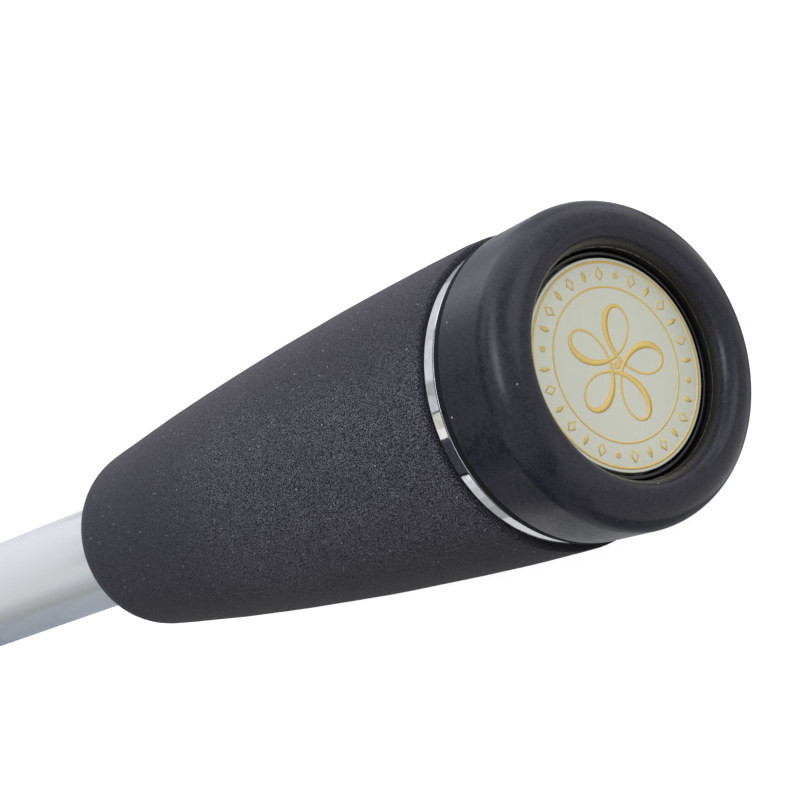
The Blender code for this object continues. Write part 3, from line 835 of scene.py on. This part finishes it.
def build_cap_insides(nylon, rubber, brass):
    """The threaded plug, its seal and washer, and the core that it screws into."""
    start, end, flange_r = span("cap_plug")
    flange_end, thread_r, bore, bore_start, hole = start + 1.5, 7.0, 4.5, 15.5, 1.8
    outline = [(start, flange_r), (flange_end, flange_r), (flange_end, thread_r + 0.3),
               (flange_end + 0.3, thread_r), (end - 0.5, thread_r), (end, thread_r - 0.5),
               (end, bore), (bore_start, bore), (bore_start, hole), (start, hole)]
    turned("cap_plug_threaded", "cap", ["cap_plug"], nylon,
           refine(soften(outline, 0.15, 3), 0.12), STEPS_THREAD,
           thread((flange_end + 0.8, end - 0.3), (thread_r - 0.2, thread_r + 0.01), -0.55))

    start, end, outer = span("seal_ring")
    thick = (end - start) / 2
    turned("seal_ring_round", "cap", ["seal_ring"], rubber,
           round_line((start + end) / 2, outer - thick, thick, 28), STEPS_WIDE)

    start, end, outer = span("thrust_washer")
    turned("thrust_washer_turned", "washer", ["thrust_washer"], brass,
           soften([(start, outer), (end, outer), (end, 7.3), (start, 7.3)], 0.12, 3), STEPS_WIDE)

    start, end, outer = span("grip_core")
    seat, seat_r, bore = 21.6, 6.8, 7.3
    outline = [(start, outer), (end, outer), (end, seat_r), (seat, seat_r), (seat, bore),
               (start, bore)]
    turned("grip_core_threaded", "upper", ["grip_core"], nylon,
           refine(soften(outline, 0.2, 3), 0.2), STEPS_THREAD,
           thread((start + 0.3, seat - 0.3), (bore - 0.01, bore + 0.1), 0.5))


# ---------------------------------------------------------------- shaft and tip

def flutes(count, depth, u_range, least_r):
    """Relief of rounded grooves along the cane, in the surface outside least_r."""
    def relief(u, r, angle):
        if r < least_r:
            return 0.0
        ends = max(0.0, min(1.0, (u - u_range[0]) / 1.5, (u_range[1] - u) / 1.5))
        return -depth * sqrt(ends) * (0.5 + 0.5 * cos(count * angle)) ** 2
    return relief


def build_collars(nylon):
    """The fluted collars at the mouths of the outer tubes, with a groove for the felt wiper."""
    for body, lip in (("upper", 5.65), ("middle", 4.55)):
        start, end, outer = span(body + "_collar")
        tube_end, sleeve, nick = end - 12.0, outer - 1.8, outer - 0.35
        groove_start, groove_end = tube_end + 3.0, tube_end + 6.0
        outline = [(start, sleeve + 0.5), (start + 4.0, outer), (tube_end - 1.2, outer),
                   (tube_end - 0.9, nick), (tube_end - 0.2, nick), (tube_end + 0.1, outer),
                   (end - 1.5, outer), (end, outer - 1.2), (end, lip), (groove_end, lip),
                   (groove_end, sleeve), (groove_start, sleeve), (groove_start, lip),
                   (tube_end + 0.3, lip), (tube_end + 0.3, sleeve), (start, sleeve)]
        turned(body + "_collar_fluted", body, [body + "_collar"], nylon,
               refine(soften(outline, 0.3, 4), 0.5), STEPS_FLUTES,
               flutes(20, 0.4, (tube_end + 0.6, end - 1.6), outer - 0.1))


def build_tip(nylon, pale):
    """The ribbed socket on the lower tube and the roller with its end cap."""
    start, end, outer = span("tip_adapter")
    nose, bore, seat, sleeve = 4.6, 2.8, 955.3, 4.6
    ribs, rib_pitch, rib_depth = 6, 3.6, 0.45
    outline = [(start, sleeve + 0.6), (start + 3.0, outer)]
    for rib in range(ribs):
        at = start + 6.0 + rib_pitch * rib
        outline += [(at, outer), (at + 0.5, outer - rib_depth), (at + 1.3, outer - rib_depth),
                    (at + 1.8, outer)]
    outline += [(end - 8.0, outer), (end - 4.0, nose), (end, nose), (end, bore), (seat, bore),
                (seat, sleeve), (start, sleeve)]
    turned("tip_adapter_ribbed", "lower", ["tip_adapter"], nylon,
           soften(outline, 0.25, 4))

    start, end, outer = span("roller_tip")
    face_r, mouth_r, bush_r, shoulder_r, seat_r = 11.4, 7.0, 4.8, 3.4, 8.3
    seat_end, shoulder, mouth = start + 10.0, end - 12.0, end - 10.5
    back, rear, front = (start, 11.0), (start + 6.0, outer), (end - 7.0, outer)
    parting = (rear[0] + front[0]) / 2
    side = [(rear[0] + 1.5, outer), (rear[0] + 1.8, outer - 0.3), (rear[0] + 2.4, outer - 0.3),
            (rear[0] + 2.7, outer), (parting - 0.12, outer - 0.02), (parting, outer),
            (parting + 0.12, outer - 0.02), (front[0] - 2.7, outer), (front[0] - 2.4, outer - 0.3),
            (front[0] - 1.8, outer - 0.3), (front[0] - 1.5, outer), front]
    outline = [back] + quarter(back, rear, "r", 20) + soften(side, 0.12, 3, loop=False)
    outline += quarter(front, (end, face_r), "u", 24)
    inner = [(end, face_r - 0.1), (end, mouth_r), (mouth, mouth_r), (mouth, shoulder_r),
             (shoulder, shoulder_r), (shoulder, bush_r), (seat_end, bush_r),
             (seat_end, seat_r), (start, seat_r), (start, back[1] - 0.1)]
    outline += soften(inner, 0.3, 4, loop=False)

    def wear(u, r, angle):
        if u <= front[0] or r <= mouth_r + 0.5:
            return 0.0
        return -0.02 * (1 + noise.noise(Vector((u, r * cos(angle), r * sin(angle))) / 2.0))

    turned("roller_tip_worn", "roller", ["roller_tip"], pale, outline,
           STEPS_WIDE, wear)

    start, end, outer = span("roller_end_cap")
    outline = [(start, 0), (start, outer), (end - 0.4, outer), (end, outer - 0.4), (end, 4.6),
               (end - 0.35, 4.4), (end - 0.35, 3.7), (end, 3.5), (end, 1.2), (end - 0.4, 0.9),
               (end - 0.4, 0)]
    turned("roller_end_cap_moulded", "roller", ["roller_end_cap"], nylon,
           soften(outline, 0.12, 3, loop=False))


# ---------------------------------------------------------------- put together

# SIDE is the camera's right; painted shade on the rubber darkens towards it.
SIDE = build_camera()                  # a fixed side of the cane, which lies to the right
build_world()
build_floor()
build_panels()
build_cards()
build_ring_cards()

rubber, worn, gloss = make_rubber(SIDE), make_worn_rubber(SIDE), make_gloss_black()
chrome, foam = make_chrome(), make_foam()
white, red, nylon, felt = make_white_paint(), make_red_sheeting(), make_nylon(), make_felt()
steel = make_metal("steel", (0.52, 0.52, 0.53), (0.64, 0.64, 0.65), 0.28)
brass = make_metal("brass", (0.66, 0.48, 0.20), (0.78, 0.60, 0.30), 0.3)
pale = make_pale_nylon()
face_up = Vector((1, 0, 0)).cross(SIDE).normalized()
champagne, gold = make_champagne(face_up), make_gold()

build_cap(rubber, worn)
build_medallion(gloss, champagne, gold, face_up)
build_ring(chrome)
build_foam(foam)
build_cap_insides(nylon, rubber, brass)
build_tubes(white, red)
build_collars(nylon)
build_tip(nylon, pale)

FINISHES = {"black_rubber": rubber, "felt": felt, "steel": steel, "brass": brass,
            "black_nylon": nylon, "pale_nylon": pale, "gloss_black": gloss,
            "champagne_disc": champagne, "polished_trim": chrome, "eva_foam": foam,
            "white_paint": white, "red_paint": red}
for part in frame["record"]["subparts"]:
    shown = frame["nodes"][part["node"]]
    shown.data.materials.clear()
    shown.data.materials.append(FINISHES[part["material_slot"]])
